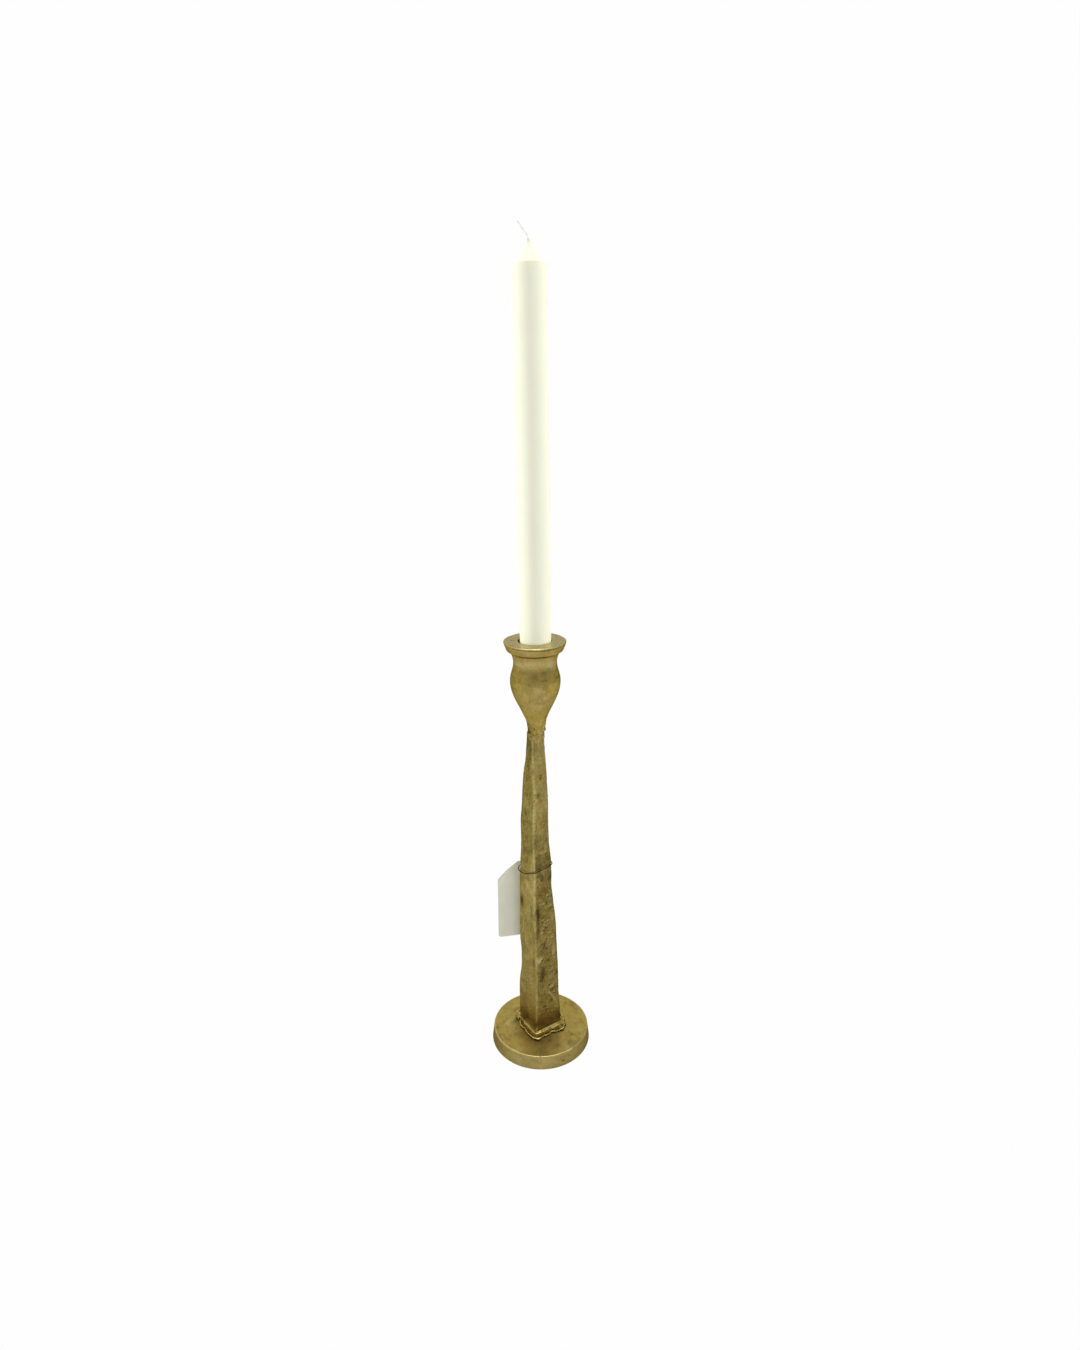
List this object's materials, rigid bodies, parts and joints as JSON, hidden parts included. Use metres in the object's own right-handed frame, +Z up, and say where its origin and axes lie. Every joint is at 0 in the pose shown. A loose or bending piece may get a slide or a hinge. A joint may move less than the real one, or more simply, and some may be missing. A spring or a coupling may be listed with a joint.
{
  "type": "candlestick",
  "caption": "Handmade candlestick: a round turned foot, a tapering square bar with a lean, and a turned cup that holds a dinner candle; a blank swing tag is tied round the bar.",
  "frame": {"origin": "centre of the underside of the felt disc, where the candlestick stands on the table", "axes": "+Z up through the foot's middle; -Y is the front, where one long corner of the square bar points at the viewer; the bar and cup lean slightly to -X"},
  "size_m": [0.0792, 0.0792, 0.6034],
  "materials": {
    "cast_brass": "aged satin",
    "braze_brass": "rough as run, worn bright on the edges",
    "zinc_steel": "zinc plated",
    "green_felt": "pressed felt",
    "ivory_wax": "satin wax",
    "cotton_wick": "braided, waxed at its root",
    "brown_elastic": "braided cover",
    "grey_card": "uncoated"
  },
  "bodies": {
    "candlestick": {"base_disc": "cast_brass", "felt_pad": "green_felt", "base_screw": "zinc_steel", "flat_washer": "zinc_steel", "spring_washer": "zinc_steel", "stem": "cast_brass", "foot_braze": "braze_brass", "neck_stud": "zinc_steel", "neck_braze": "braze_brass", "candle_cup": "cast_brass"},
    "candle": {"candle_wax": "ivory_wax", "candle_wick": "cotton_wick"},
    "tag_loop": {"tag_cord": "brown_elastic", "tag_hitch": "brown_elastic"},
    "tag": {"hang_tag": "grey_card"}
  },
  "joints": [
    {"name": "candle_lift", "type": "slide", "parent": "candlestick", "child": "candle", "axis": [-0.0157, 0, 0.9999], "range_m": [0, 0.06]},
    {"name": "tag_loop_slide", "type": "slide", "parent": "candlestick", "child": "tag_loop", "axis": [0, 0, 1], "range_m": [0, 0.09]},
    {"name": "tag_flap", "type": "hinge", "parent": "tag_loop", "child": "tag", "pos_m": [-0.0146, 0.0153, 0.15375], "axis": [0.9703, 0.2419, 0], "range_deg": [0, 75]}
  ]
}
